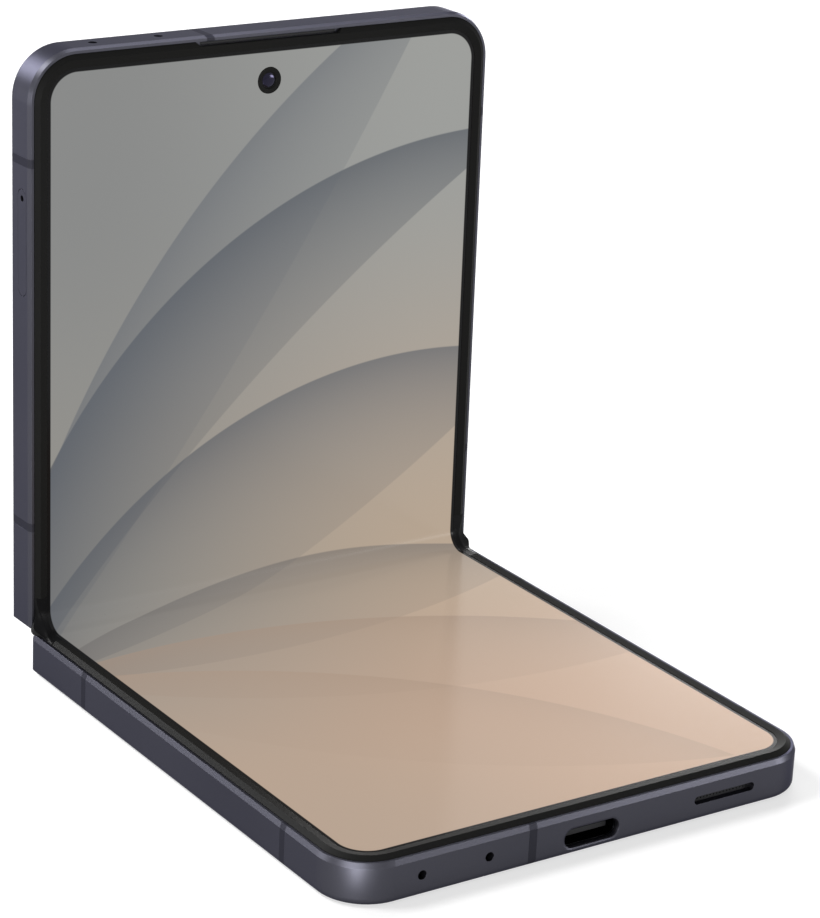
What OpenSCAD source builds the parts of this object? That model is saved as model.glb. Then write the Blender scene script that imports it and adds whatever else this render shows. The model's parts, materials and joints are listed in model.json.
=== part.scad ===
// Folding phone of the clamshell kind, standing half open on its lower half.
// Each half is drawn in its own frame: x across, y from the fold line to the
// far end, z up from the display surface. The row frame has its origin under
// the middle of the lower half, +z up, and the hinge on the +y side.

/* [Body] */
// Width across the side faces
body_w = 75.2; // [73:0.1:79]
// Length of each half, from the fold line to its far end
half_len = 83.35; // [82:0.05:88]
// Depth from the display surface to the back of a half
body_t = 6.25; // [6.2:0.05:7]
// Outer radius of the four far corners
corner_r = 7.1; // [6.5:0.1:9]
// Thickness of the side and far walls
wall_t = 2.2; // [2.1:0.05:2.6]
// Depth of the frame's lip below the display surface
lip_drop = 0.30; // [0.2:0.01:0.4]
// Width of the lip, from the side face to the bezel's seat
lip_w = 0.66; // [0.5:0.01:0.66]
// Width of the chamfer between lip and side face
chamfer_w = 0.28; // [0.1:0.01:0.35]
// Height of that chamfer
chamfer_h = 0.74; // [0.3:0.01:1]
// Rounding between side face and back
back_round = 1.0; // [0.5:0.05:1.2]
// Rounding of the edges at the hinge end
end_round = 0.35; // [0.1:0.01:0.38]
// Rounding of the side walls' back corners at the hinge end
heel_round = 0.9; // [0.4:0.05:1.2]
// Rounding of the lips' front corners at the hinge end
lip_round = 0.5; // [0.1:0.05:0.6]
// Gap between the fold line and the end of a half
end_gap = 0.05; // [0.03:0.01:0.15]
// Thickness of the back glass
glass_t = 0.6; // [0.4:0.05:0.8]
// Rim of the frame around the back glass
glass_rim = 1.3; // [1.1:0.05:1.6]
// Thickness of the frame's floor
floor_t = 0.6; // [0.4:0.05:0.8]

/* [Fold] */
// Opening angle between the two display faces
open_angle = 90.8; // [80:0.1:110]
// Distance of each fold axis from the fold line
axis_in = 0.7; // [0.5:0.05:0.9]
// Depth of the fold axes below the display surface
axis_drop = 0.1; // [0:0.01:0.2]
// Depth of the spine's outer face below the display surface, when flat
spine_drop = 3.1; // [3:0.05:3.6]
// Depth of the spine's open top below the display surface, when flat
spine_top = 1.0; // [0.98:0.01:1.1]
// Thickness of the spine cover
spine_t = 0.35; // [0.25:0.01:0.4]
// Crown radius of the spine cover's outer face
spine_crown = 14; // [11:0.5:20]
// Distance from the side faces to the ends of the spine
spine_inset = 3.2; // [3:0.05:4]
// Thickness of the cap at each end of the spine
spine_cap_t = 0.8; // [0.6:0.05:1.2]
// Running gap between the spine and the halves
spine_gap = 0.1; // [0.08:0.01:0.15]
// Thickness of a half's thin edge over the spine
edge_t = 0.4; // [0.38:0.01:0.5]
// Bend radius of the display at the rest angle
bend_r = 2.9; // [2.4:0.05:3.2]
// Length of the bending strip on each side of the fold line
bend_len = 3.4; // [3.3:0.05:3.8]

/* [Display] */
// Thickness of the rigid display panels
panel_t = 0.6; // [0.5:0.01:0.62]
// Thickness of the plate below each panel
plate_t = 0.3; // [0.2:0.01:0.35]
// Thickness of the bending strip
strip_t = 0.45; // [0.35:0.01:0.5]
// Distance from the side faces to the edge of the display glass
panel_inset = 1.5; // [1.45:0.05:1.9]
// Distance from the side faces to the foot of the bezel
bezel_foot = 0.70; // [0.68:0.01:0.9]
// Distance from the side faces to the ridge of the bezel
bezel_ridge = 1.38; // [1.2:0.01:1.42]
// Distance from the side faces to the inner edge of the bezel
bezel_inner = 2.5; // [2.2:0.05:2.9]
// Height of the ridge above the display surface
bezel_rise = 0.25; // [0.1:0.01:0.3]
// Height of the bezel's inner edge above the display surface
bezel_inner_rise = 0.06; // [0.03:0.01:0.1]
// Distance from the fold line to the ends of the bezels
bezel_end = 4.7; // [4.5:0.05:5.5]
// Height of the soft fold trim's ridge above the display surface
trim_rise = 0.2; // [0.1:0.01:0.25]
// Diameter of the front camera's hole in the display
front_hole_d = 3.9; // [3.4:0.1:4.4]
// Distance from the far end to that hole
front_hole_in = 7.1; // [6:0.1:9]

/* [Ports and slots] */
// Width of the charging port's mouth
port_w = 8.6; // [8.5:0.05:9]
// Height of the charging port's mouth
port_h = 2.6; // [2.5:0.05:2.7]
// Depth of the port's centre below the display surface
port_drop = 3.85; // [3.8:0.01:3.9]
// Rounding of the port's mouth
mouth_round = 0.4; // [0.2:0.05:0.5]
// Depth of the microphone and speaker centres below the display surface
hole_drop = 3.24; // [3.2:0.01:3.3]
// Distance from the right side face to the middle of the speaker slot
speaker_in = 15.78; // [15:0.05:17]
// Width of the speaker slot
speaker_w = 10.1; // [8:0.1:12]
// Height of the speaker slot
speaker_h = 1.2; // [0.8:0.05:1.6]
// Distance from the left side face to the outer microphone
mic_outer_in = 11.15; // [10.5:0.05:13]
// Distance between the two microphones of a half
mic_spacing = 10.25; // [9:0.05:11]
// Diameter of a microphone hole
mic_d = 1.3; // [0.8:0.05:1.6]
// Width of the earpiece slot
ear_w = 24.2; // [20:0.1:26]
// Width of an antenna band
band_w = 1.25; // [0.8:0.05:1.6]
// Depth of an antenna band in the wall
band_depth = 0.8; // [0.5:0.05:1]
// Distance from the fold line to the antenna bands near the hinge
band_near = 15.4; // [14:0.1:18]
// Distance from the far end to the antenna bands near it
band_far_in = 15.3; // [13:0.1:16]
// Distance from the left side face to the antenna band of the far end
band_end_in = 28.1; // [26:0.1:30]

/* [Card tray and keys] */
// Length of the card tray's door
tray_w = 15.1; // [14.6:0.1:16]
// Height of the card tray's door
tray_h = 2.4; // [2.2:0.05:2.6]
// Distance from the far end to the middle of the card tray
tray_in = 26.8; // [25:0.1:28]
// Depth of the tray and key centres below the display surface
tray_drop = 2.6; // [2.5:0.05:3]
// Gap around the tray door and the keys
key_gap = 0.08; // [0.05:0.01:0.12]
// Length of the volume key
volume_w = 17; // [14:0.5:20]
// Distance from the far end to the middle of the volume key
volume_in = 29; // [27:0.5:31]
// Length of the side key
side_w = 12; // [10:0.5:14]
// Distance from the far end to the middle of the side key
side_in = 51; // [48:0.5:53]
// Height of the keys
key_h = 2.2; // [1.8:0.05:2.4]
// How far the keys stand out of the side face
key_proud = 0.4; // [0.25:0.05:0.6]
// Travel of the keys
key_travel = 0.2; // [0.1:0.05:0.25]

/* [Cameras] */
// Outer radius of a camera ring
ring_r = 6.4; // [5.8:0.1:7]
// Height of the camera rings above the back glass
ring_proud = 1.1; // [0.8:0.05:1.5]
// Share of the spare width that lies between the middle and the inner rear camera
cam_inner_share = 0.368; // [0.3:0.001:0.45]
// Share of the spare width that lies between the two rear cameras
cam_gap_share = 0.253; // [0.2:0.001:0.3]
// Distance between the inner rear camera and the flash
flash_spacing = 11.5; // [11:0.1:12]
// Distance from the far end to the rear cameras
cam_in = 11.8; // [11.5:0.1:12]
// Radius of the flash lens
flash_r = 1.9; // [1.5:0.1:2.2]

/* [Inside] */
// Gap between a battery and the side walls
battery_side_gap = 1.4; // [1:0.1:3]
// Gap between the hinge beam and a battery
battery_beam_gap = 0.6; // [0.3:0.1:2]
// Thickness of a battery
battery_t = 3.35; // [3:0.05:3.4]
// Length of the lower board
lower_board_len = 22.3; // [21:0.1:24]
// Length of the main board
main_board_len = 38.8; // [36:0.1:40]
// Gap between the upper battery and the main board
battery_board_gap = 1.5; // [1:0.1:3]
// Length of a closing magnet across the phone
magnet_w = 6; // [4:0.5:8]
// Width of a closing magnet
magnet_len = 1.8; // [1.2:0.1:2]
// Distance of the closing magnets from the middle
magnet_x = 13; // [10:0.5:14]
// Outer radius of the charging coil
coil_outer_r = 21; // [18:0.5:22]
// Inner radius of the charging coil
coil_inner_r = 11; // [9:0.5:13]
// Radius of the vibration motor
motor_r = 4.5; // [4:0.1:5]
// Width of the microphone cans
mic_can_w = 3; // [2.6:0.1:3.4]
// Side of a rear camera's square housing
cam_box = 11.2; // [10:0.1:11.4]
// Side of the front camera's square housing
front_box = 5.4; // [5:0.1:5.6]
// Length of the earpiece box along the phone
ear_box_len = 4.1; // [3.5:0.1:4.4]
// Length of the loudspeaker box along the phone
speaker_box_len = 21; // [15:0.5:21]

/* [Hinge works] */
// Inner radius of the arc rails about the fold axes
rail_in = 1.9; // [1.8:0.01:1.95]
// Outer radius of the arc rails
rail_out = 2.4; // [2.3:0.01:2.43]
// Length of a rail along the spine
rail_len = 4; // [3:0.1:4.4]
// Running clearance of the rails and shafts
run_gap = 0.05; // [0.03:0.01:0.06]
// Distance of the lower half's rails from the middle
rail_lower_x = 20.6; // [20:0.1:21]
// Distance of the upper half's rails from the middle
rail_upper_x = 26.2; // [25.8:0.1:26.6]
// Distance of the gear boxes from the middle
gear_x = 14.6; // [14.4:0.1:14.8]
// Pitch radius of the four timing gears
gear_pitch_r = 0.7; // [0.69:0.01:0.71]
// Depth of the gear shafts below the display surface, when flat
gear_drop = 1.5; // [1.48:0.01:1.52]
// Radius of the outer gear shafts
shaft_r = 0.3; // [0.25:0.01:0.32]
// Outer radius of the detent springs
spring_r = 0.7; // [0.6:0.01:0.72]
// Length of a detent spring
spring_len = 5.2; // [4:0.1:5.6]

/* [Hidden] */
$fn = 48;
eps = 0.01;

// Colours
metal = "#4b4b54";
band_grey = "#41414c";
black = "#1d1d20";
glass_black = "#101014";
screen = "#a09a94";
steel = "#9a9ca0";
board_green = "#23463a";
copper = "#b5764a";
silver = "#b9bbc0";

// Rest pose: each half is turned up from flat by this much
fold = (180 - open_angle) / 2;

// Depths below the display surface
ledge = panel_t;
floor_top = panel_t + plate_t;
floor_bottom = floor_top + floor_t;
glass_seat = body_t - glass_t;
stack_top = floor_bottom + 0.1;
part_gap = 0.1;

// Radius about a fold axis of the spine's sides, and of the hollow around them
spine_r = body_t - axis_drop - edge_t - spine_gap;
hollow_r = spine_r + spine_gap;
spine_half = body_w / 2 - spine_inset;
hollow_half = spine_half + 0.15;

// Beam across the hinge end of each half, the bay behind it, and the back glass
beam_end = 9;
glass_start = 4.5;
bay_end = half_len - wall_t;
bay_half = body_w / 2 - wall_t;

// Brackets of the arc rails
wing_top = ledge + 0.02;
wing_bottom = wing_top + 0.31;
tab_bottom = wing_bottom + 0.32;
wing_start = axis_in + 1.6;
wing_end = 8.6;
tab_start = 6.7;
tab_screw = 7.65;
rail_near_angle = 20;
rail_sweep = 130;

// Timing gears: the outer shafts carry the arms, the inner ones the idlers
shaft_outer = 3 * gear_pitch_r;
gear_tip_r = gear_pitch_r + 0.09;
gear_root_r = gear_pitch_r - 0.13;
gear_teeth = 8;
gear_w = 1;
gear_box = 4.6;
cheek_t = 0.9;
cheek_top = 0.78;
cam_t = 1.1;
gear_start = gear_x - gear_box / 2 + 0.6;
arm_start = gear_start + gear_w + 0.3;
arm_w = 2;
arm_top = ledge + 0.06;
arm_bottom = arm_top + 0.28;
arm_end = 8.5;
arm_dip = norm([shaft_outer - axis_in, gear_drop - axis_drop]) - (gear_drop - axis_drop);
spring_start = gear_x - gear_box / 2 - cheek_t - cam_t - 0.2 - spring_len;
base_start = spring_start - 1.5;
base_end = rail_upper_x + rail_len / 2 + 1.2;
base_inset = spine_t + 0.03;

// Where the display faces would meet, in a half's own frame at rest
vertex_y = axis_drop * tan(fold) - axis_in * (1 / cos(fold) - 1);
bend_start = vertex_y + bend_r * tan(fold);

// Row position of the fold line
fold_y = half_len / 2;

// Places across the phone
speaker_x = body_w / 2 - speaker_in;
mic_outer_x = body_w / 2 - mic_outer_in;
mic_inner_x = mic_outer_x - mic_spacing;
band_end_x = body_w / 2 - band_end_in;
cam_spare = bay_half - front_box / 2 - cam_box - 2 * ring_r;
cam_inner_x = front_box / 2 + cam_box / 2 + cam_inner_share * cam_spare;
cam_outer_x = cam_inner_x + 2 * ring_r + cam_gap_share * cam_spare;
flash_x = cam_inner_x - flash_spacing;
cam_y = half_len - cam_in;

// Batteries and boards
board_t = 0.6;
board_side = 3 * part_gap;
lower_board_top = hole_drop + 1.62;
upper_board_top = 3.7;
lower_board_start = bay_end - board_side - lower_board_len;
lower_board_right = port_w / 2 + 5.7;
main_board_start = bay_end - board_side - main_board_len;
main_board_wide_end = cam_y - cam_box / 2 - 1.6;
main_board_right = cam_inner_x - cam_box / 2 - 1.7;
battery_start = beam_end + battery_beam_gap;
battery_half = bay_half - battery_side_gap;
battery_bottom = stack_top + battery_t;
magnet_y = lower_board_start - magnet_len / 2 - 0.3;
lower_battery_end = magnet_y - magnet_len / 2 - 0.4;
upper_battery_end = main_board_start - battery_board_gap;
lower_bosses = [
  [3 - bay_half, lower_board_start + 3], [3 - bay_half, bay_end - 6],
  [lower_board_right - 2, lower_board_start + 3], [lower_board_right - 2, bay_end - 3.5]];
upper_bosses = [
  [main_board_right - 7.7, main_board_start + 3], [bay_half - 3, main_board_start + 3],
  [bay_half - 3, main_board_wide_end - 3.4], [main_board_right - 7.7, main_board_wide_end + 1.7]];
boss_r = 1.4;
screw_r = 0.5;
screw_head_r = 0.9;

// Port shell
shell_w = port_w + 0.34;
shell_h = port_h + 0.4;
shell_wall = 0.25;
shell_in = 0.95;
shell_len = 7.3;

// Card tray plate, and the flanges behind the keys
tray_len = 14;
tray_plate_w = tray_w - 1.9;
tray_plate_t = 0.9;
flange_in = 0.85;
flange_t = 0.5;

// ---------- placing ----------

module in_lower() {
  translate([0, fold_y, body_t]) mirror([0, 1, 0]) children();
}

module in_spine() {
  translate([0, fold_y - axis_in, body_t - axis_drop]) rotate([fold, 0, 0])
    translate([0, axis_in, axis_drop]) children();
}

module in_upper() {
  in_spine() translate([0, axis_in, -axis_drop]) rotate([fold, 0, 0])
    translate([0, -axis_in, axis_drop]) children();
}

module both_sides() {
  children();
  mirror([1, 0, 0]) children();
}

// ---------- outlines and blocks ----------

// A y-z outline drawn along x
module along_x(start, length) {
  translate([start, 0, 0]) rotate([90, 0, 90]) linear_extrude(length) children();
}

// An x-z outline drawn inward from the far end
module from_far_end(start, length) {
  translate([0, half_len - start, 0]) rotate([90, 0, 0]) linear_extrude(length) children();
}

// A y-z outline drawn inward from the right side face
module from_right(start, length) {
  along_x(body_w / 2 - start - length, length) children();
}

module block(x0, x1, y0, y1, top, bottom) {
  translate([x0, y0, -bottom]) cube([x1 - x0, y1 - y0, bottom - top]);
}

// An upright cylinder between two depths
module post(x, y, r, top, bottom) {
  translate([x, y, -bottom]) cylinder(r = r, h = bottom - top);
}

module stadium(w, h) {
  square([w - h, h], center = true);
  for (side = [-1, 1]) translate([side * (w - h) / 2, 0]) circle(h / 2);
}

module half_outline(inset, start) {
  corner_x = body_w / 2 - corner_r;
  corner_y = half_len - corner_r;
  translate([inset - body_w / 2, start]) square([body_w - 2 * inset, corner_y - start]);
  translate([-corner_x, start]) square([2 * corner_x, half_len - inset - start]);
  for (side = [-1, 1]) translate([side * corner_x, corner_y]) circle(corner_r - inset);
}

// A layer of a half between two depths below the display surface
module layer(inset, start, top, bottom) {
  translate([0, 0, -bottom]) linear_extrude(bottom - top) half_outline(inset, start);
}

// Sweeps an outline along the sides, round the corners and across the far end.
// The outline's x is the distance inward from the side face, its y the height.
module rim_sweep(start) {
  straight = half_len - corner_r;
  both_sides() {
    translate([-body_w / 2, straight, 0]) rotate([90, 0, 0])
      linear_extrude(straight - start) children();
    translate([body_w / 2 - corner_r, straight, 0])
      rotate_extrude(angle = 90) translate([corner_r, 0]) mirror([1, 0]) children();
  }
  translate([corner_r - body_w / 2, half_len, 0]) mirror([0, 1, 0]) rotate([90, 0, 90])
    linear_extrude(body_w - 2 * corner_r) children();
}

module round_cut(r) {
  difference() {
    translate([-1, -1]) square(1 + r);
    translate([r, r]) circle(r);
  }
}

// ---------- frames of the halves ----------

module half_body() {
  difference() {
    layer(0, end_gap, lip_drop, body_t);
    rim_sweep(-1) polygon([[-1, -lip_drop - chamfer_h], [0, -lip_drop - chamfer_h],
      [chamfer_w, -lip_drop], [chamfer_w, 1], [-1, 1]]);
    rim_sweep(-1) translate([0, -body_t]) round_cut(back_round);
    along_x(-body_w, 2 * body_w) translate([end_gap, -body_t]) round_cut(end_round);
    both_sides() {
      translate([-body_w / 2, end_gap, -2 * body_t]) linear_extrude(3 * body_t) round_cut(end_round);
      along_x(-body_w, body_w - hollow_half) translate([end_gap, -body_t]) round_cut(heel_round);
      along_x(-body_w, body_w / 2 + lip_w) translate([end_gap, -lip_drop]) mirror([0, 1])
        round_cut(lip_round);
    }
  }
}

module band_zone() {
  both_sides() for (y = [band_near, half_len - band_far_in])
    block(-body_w, band_depth - body_w / 2, y - band_w / 2, y + band_w / 2, -1, body_t + 1);
  block(-band_end_x - band_w / 2, -band_end_x + band_w / 2,
    half_len - band_depth, half_len + 1, -1, body_t + 1);
}

module antenna_bands() {
  color(band_grey) difference() {
    intersection() {
      half_body();
      band_zone();
    }
    layer(lip_w, -1, -1, ledge);
  }
}

module bosses(board_top, places) {
  for (p = places) post(p[0], p[1], boss_r, floor_bottom - 0.1, board_top);
}

module mic_holes() {
  for (x = [mic_outer_x, mic_inner_x])
    translate([-x, half_len + 1, -hole_drop]) rotate([90, 0, 0]) cylinder(d = mic_d, h = wall_t + 2);
}

module half_frame(board_top, boss_places, rail_x) {
  difference() {
    half_body();
    band_zone();
    layer(lip_w, -1, -1, ledge);
    layer(wall_t + part_gap, beam_end + part_gap, ledge - eps, floor_top);
    difference() {
      layer(wall_t, beam_end, floor_bottom, glass_seat + eps);
      bosses(board_top, boss_places);
    }
    layer(glass_rim, glass_start, glass_seat, body_t + 1);
    // hollow around the spine
    translate([-hollow_half, axis_in, -axis_drop]) rotate([0, 90, 0])
      cylinder(r = hollow_r, h = 2 * hollow_half, $fn = 96);
    block(-hollow_half, hollow_half, -1, axis_in, -1, axis_drop + hollow_r);
    // seats of the rail brackets, and windows for the timing arms
    both_sides() {
      block(rail_x - rail_len / 2 - part_gap, rail_x + rail_len / 2 + part_gap,
        axis_in, wing_end + part_gap, ledge - eps, tab_bottom);
      block(arm_start - 0.2, arm_start + arm_w + 0.2,
        axis_in, arm_end + 0.2, ledge - eps, arm_bottom + arm_dip + 0.08);
      post(rail_x, tab_screw, screw_r + 0.02, ledge, 3.6);
    }
    for (p = boss_places) post(p[0], p[1], screw_r + 0.02, floor_bottom + 0.2, board_top + 1);
    mic_holes();
  }
}

module mouth_chamfer(out, deep) {
  translate([0, half_len + eps, 0]) rotate([90, 0, 0])
    for (side = [-1, 1]) translate([side * (port_w - port_h) / 2, 0, 0])
      cylinder(r1 = port_h / 2 + out, r2 = port_h / 2, h = deep);
  along_x(-(port_w - port_h) / 2, port_w - port_h) polygon([
    [half_len + eps, -port_h / 2 - out], [half_len + eps, port_h / 2 + out],
    [half_len + eps - deep, port_h / 2], [half_len + eps - deep, -port_h / 2]]);
}

// Mouth of the charging port, its edge eased by two chamfers
module port_mouth() {
  from_far_end(-1, 1 + shell_in - part_gap) stadium(port_w, port_h);
  from_far_end(shell_in - part_gap, wall_t) stadium(shell_w + 0.1, shell_h + 0.1);
  mouth_chamfer(mouth_round, 0.3 * mouth_round);
  mouth_chamfer(0.3 * mouth_round, mouth_round);
}

module lower_frame() {
  color(metal) in_lower() difference() {
    half_frame(lower_board_top, lower_bosses, rail_lower_x);
    translate([0, 0, -port_drop]) port_mouth();
    translate([speaker_x, 0, -hole_drop]) from_far_end(-1, wall_t + 2) stadium(speaker_w, speaker_h);
  }
}

module key_opening(length, place) {
  translate([0, half_len - place, -tray_drop]) {
    from_right(-1, wall_t + 1.5) stadium(length + 2 * key_gap, key_h + 2 * key_gap);
    from_right(flange_in - 0.05, wall_t) square([length + 1.4, key_h + 0.8], center = true);
  }
}

module upper_frame() {
  color(metal) in_upper() difference() {
    half_frame(upper_board_top, upper_bosses, rail_upper_x);
    // earpiece: a slot in the ledge and a duct into the bay
    block(1 - ear_w / 2, ear_w / 2 - 1, half_len - 1.25, half_len - 0.8, ledge - eps, 2.6);
    block(1 - ear_w / 2, ear_w / 2 - 1, bay_end - 1, half_len - 0.8, 1.8, 2.6);
    post(0, half_len - front_hole_in, front_hole_d / 2 + 0.2, 0, floor_bottom + 1);
    translate([0, half_len - tray_in, -tray_drop]) mirror([1, 0, 0])
      from_right(-1, wall_t + 2) stadium(tray_w + 2 * key_gap, tray_h + 2 * key_gap);
    key_opening(volume_w, volume_in);
    key_opening(side_w, side_in);
  }
}

module lower_antenna_bands() {
  in_lower() antenna_bands();
}

module upper_antenna_bands() {
  in_upper() antenna_bands();
}

// ---------- display, bezels and covers ----------

module bezel_outline(foot, foot_top, rise) {
  polygon([[bezel_foot, -foot], [bezel_foot, foot_top], [bezel_ridge, rise],
    [bezel_inner, bezel_inner_rise], [bezel_inner, 0], [panel_inset, 0], [panel_inset, -foot]]);
}

module bezel_ring() {
  color(black) rim_sweep(bezel_end) bezel_outline(ledge, 0.06 - lip_drop, bezel_rise);
}

module lower_bezel() {
  in_lower() bezel_ring();
}

module upper_bezel() {
  notch = bezel_ridge - 0.1;
  color(black) in_upper() difference() {
    bezel_ring();
    translate([0, half_len, -1]) linear_extrude(2) polygon([[-ear_w / 2, 1], [-ear_w / 2, -0.5],
      [notch - 0.5 - ear_w / 2, -notch], [ear_w / 2 - notch + 0.5, -notch],
      [ear_w / 2, -0.5], [ear_w / 2, 1]]);
  }
}

module display_panel() {
  layer(panel_inset + 0.01, bend_len + 0.02, 0, panel_t);
}

module display_lower() {
  color(screen) in_lower() display_panel();
}

module display_upper() {
  color(screen) in_upper() difference() {
    display_panel();
    post(0, half_len - front_hole_in, front_hole_d / 2, -1, 1);
  }
}

module display_plate() {
  layer(wall_t + 2 * part_gap, beam_end + 2 * part_gap, ledge + 0.01, floor_top - 0.01);
}

module lower_display_plate() {
  color(steel) in_lower() display_plate();
}

module upper_display_plate() {
  color(steel) in_upper() difference() {
    display_plate();
    post(0, half_len - front_hole_in, front_hole_d / 2 + 0.2, 0, 2);
  }
}

module back_glass() {
  layer(glass_rim + 0.05, glass_start + 0.05, glass_seat, body_t);
}

module at_cameras() {
  for (x = [cam_outer_x, cam_inner_x]) translate([x, cam_y, 0]) children();
}

module lower_back_cover() {
  color(metal) in_lower() back_glass();
}

module upper_back_cover() {
  color(glass_black) in_upper() difference() {
    back_glass();
    at_cameras() post(0, 0, ring_r + 0.05, glass_seat - 1, body_t + 1);
    post(flash_x, cam_y, flash_r + 0.05, glass_seat - 1, body_t + 1);
  }
}

// ---------- bending strips over the hinge ----------

// Carries an outline along the bend, from the middle to its straight end. The
// outline's x is across the phone and its y the height above the display.
module along_bend(end) {
  translate([0, bend_start, 0]) rotate([90, 0, 0]) mirror([0, 0, 1])
    linear_extrude(end - bend_start) children();
  translate([0, bend_start, bend_r]) rotate([0, 90, 0]) rotate([0, 0, -fold])
    rotate_extrude(angle = fold) translate([bend_r, 0]) rotate(90) children();
}

module fold_strip() {
  strip_half = body_w / 2 - panel_inset - 0.01;
  along_x(-strip_half, 2 * strip_half) {
    translate([bend_start, -strip_t]) square([bend_len - bend_start, strip_t]);
    translate([bend_start, bend_r]) intersection() {
      difference() {
        circle(bend_r + strip_t, $fn = 96);
        circle(bend_r, $fn = 96);
      }
      polygon([[0, 0], [0, -2 * bend_r], [-2 * bend_r * tan(fold), -2 * bend_r]]);
    }
  }
}

module fold_trim() {
  for (side = [0, 1]) mirror([side, 0, 0])
    along_bend(bezel_end - 0.02) translate([-body_w / 2, 0])
      bezel_outline(strip_t, 0.15 - lip_drop, trim_rise);
}

module display_fold_lower() {
  color(screen) in_lower() fold_strip();
}

module display_fold_upper() {
  color(screen) in_upper() fold_strip();
}

module fold_trim_lower() {
  color(black) in_lower() fold_trim();
}

module fold_trim_upper() {
  color(black) in_upper() fold_trim();
}

// ---------- spine and hinge works ----------

module spine_outline(inset) {
  intersection() {
    union() {
      for (side = [-1, 1]) translate([side * axis_in, -axis_drop]) circle(spine_r - inset, $fn = 96);
    }
    translate([0, spine_crown - spine_drop]) circle(spine_crown - inset, $fn = 96);
    translate([-2 * spine_r, -2 * spine_r]) square([4 * spine_r, 2 * spine_r - spine_top]);
  }
}

module spine_cover() {
  cover_half = spine_half - spine_cap_t;
  color(metal) in_spine() difference() {
    along_x(-cover_half, 2 * cover_half) spine_outline(0);
    along_x(-cover_half - 1, 2 * cover_half + 2) spine_outline(spine_t);
  }
}

module spine_end_caps() {
  color(black) in_spine() both_sides() along_x(spine_half - spine_cap_t, spine_cap_t) spine_outline(0);
}

// A round bar along x at a place in the spine's section
module rod(x0, x1, y, z, r) {
  translate([x0, y, z]) rotate([0, 90, 0]) cylinder(r = r, h = x1 - x0);
}

module rail_slot(x, side) {
  translate([x - rail_len / 2 - run_gap, side * axis_in, -axis_drop]) rotate([0, 90, 0]) difference() {
    cylinder(r = rail_out + run_gap, h = rail_len + 2 * run_gap);
    translate([0, 0, -1]) cylinder(r = rail_in - run_gap, h = rail_len + 2);
  }
}

module hinge_bases() {
  pocket = shaft_outer + gear_tip_r + 0.1;
  box_end = gear_x + gear_box / 2;
  cheek_start = gear_x - gear_box / 2 - cheek_t;
  color(steel) in_spine() both_sides() difference() {
    union() {
      along_x(base_start, base_end - base_start) spine_outline(base_inset);
      for (x = [base_start, cheek_start, box_end])
        block(x, x + cheek_t, -pocket, pocket, cheek_top, spine_top + 0.5);
    }
    block(spring_start, cheek_start, -pocket, pocket, 0, gear_drop + spring_r + 0.08);
    block(cheek_start + cheek_t, box_end, -pocket, pocket, 0, spine_drop);
    for (side = [-1, 1]) {
      rod(base_start - 1, box_end + cheek_t + 0.1, side * shaft_outer, -gear_drop, shaft_r + run_gap);
      rod(cheek_start - 1, box_end + cheek_t + 0.1, side * gear_pitch_r, -gear_drop,
        shaft_r - 0.05 + run_gap);
    }
    rail_slot(rail_lower_x, -1);
    rail_slot(rail_upper_x, 1);
  }
}

module hinge_cams() {
  cam_half = shaft_outer + 0.7;
  start = gear_x - gear_box / 2 - cheek_t - cam_t - 0.1;
  color(steel) in_spine() both_sides() difference() {
    block(start, start + cam_t, -cam_half, cam_half, cheek_top, gear_drop + spring_r);
    for (side = [-1, 1]) rod(start - 1, start + cam_t + 1, side * shaft_outer, -gear_drop, shaft_r + run_gap);
  }
}

// Wound springs, drawn as rings that touch
module hinge_springs() {
  pitch = 0.4;
  wire = 0.3;
  rings = floor((spring_len - 0.1) / pitch);
  color(silver) in_spine() both_sides() for (side = [-1, 1])
    translate([spring_start + 0.05, side * shaft_outer, -gear_drop]) rotate([0, 90, 0])
      rotate_extrude() polygon(concat(
        [for (i = [0:2 * rings]) [spring_r - (i % 2 == 0 ? 0.1 : 0), i * pitch / 2]],
        [for (i = [2 * rings:-1:0]) [spring_r - wire + (i % 2 == 0 ? 0.1 : 0), i * pitch / 2]]));
}

module gear_outline(phase) {
  circle(gear_root_r);
  for (i = [0:gear_teeth - 1]) rotate(phase + i * 360 / gear_teeth)
    polygon([[gear_root_r - 0.06, -0.13], [gear_tip_r, -0.055], [gear_tip_r, 0.055],
      [gear_root_r - 0.06, 0.13]]);
}

// Turns children drawn for the flat pose about a shaft of the spine
module turned(y, angle) {
  translate([0, y, -gear_drop]) rotate([angle, 0, 0]) translate([0, -y, gear_drop]) children();
}

module gear_at(y, phase) {
  translate([0, y, -gear_drop]) along_x(gear_start, gear_w) gear_outline(phase);
}

// Arm with its gear and shaft, drawn on the +y side for the flat pose
module sync_arm(phase) {
  hub_r = gear_drop - arm_top;
  both_sides() {
    gear_at(shaft_outer, phase);
    rod(base_start + 0.1, gear_x + gear_box / 2 + cheek_t, shaft_outer, -gear_drop, shaft_r);
    rod(arm_start, arm_start + arm_w, shaft_outer, -gear_drop, hub_r);
    block(arm_start, arm_start + arm_w, shaft_outer, arm_end, arm_top, arm_bottom);
  }
}

module sync_arms_upper() {
  color(steel) in_spine() turned(shaft_outer, fold) sync_arm(0);
}

module sync_arms_lower() {
  color(steel) in_spine() mirror([0, 1, 0]) turned(shaft_outer, fold) sync_arm(22.5);
}

module idler(side, phase, angle) {
  color(steel) in_spine() turned(side * gear_pitch_r, angle) both_sides() {
    gear_at(side * gear_pitch_r, phase);
    rod(gear_x - gear_box / 2 - cheek_t + 0.1, gear_x + gear_box / 2 + cheek_t - 0.1,
      side * gear_pitch_r, -gear_drop, shaft_r - 0.05);
  }
}

module idler_gears_upper() {
  idler(1, 22.5, -fold);
}

module idler_gears_lower() {
  idler(-1, 0, fold);
}

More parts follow.
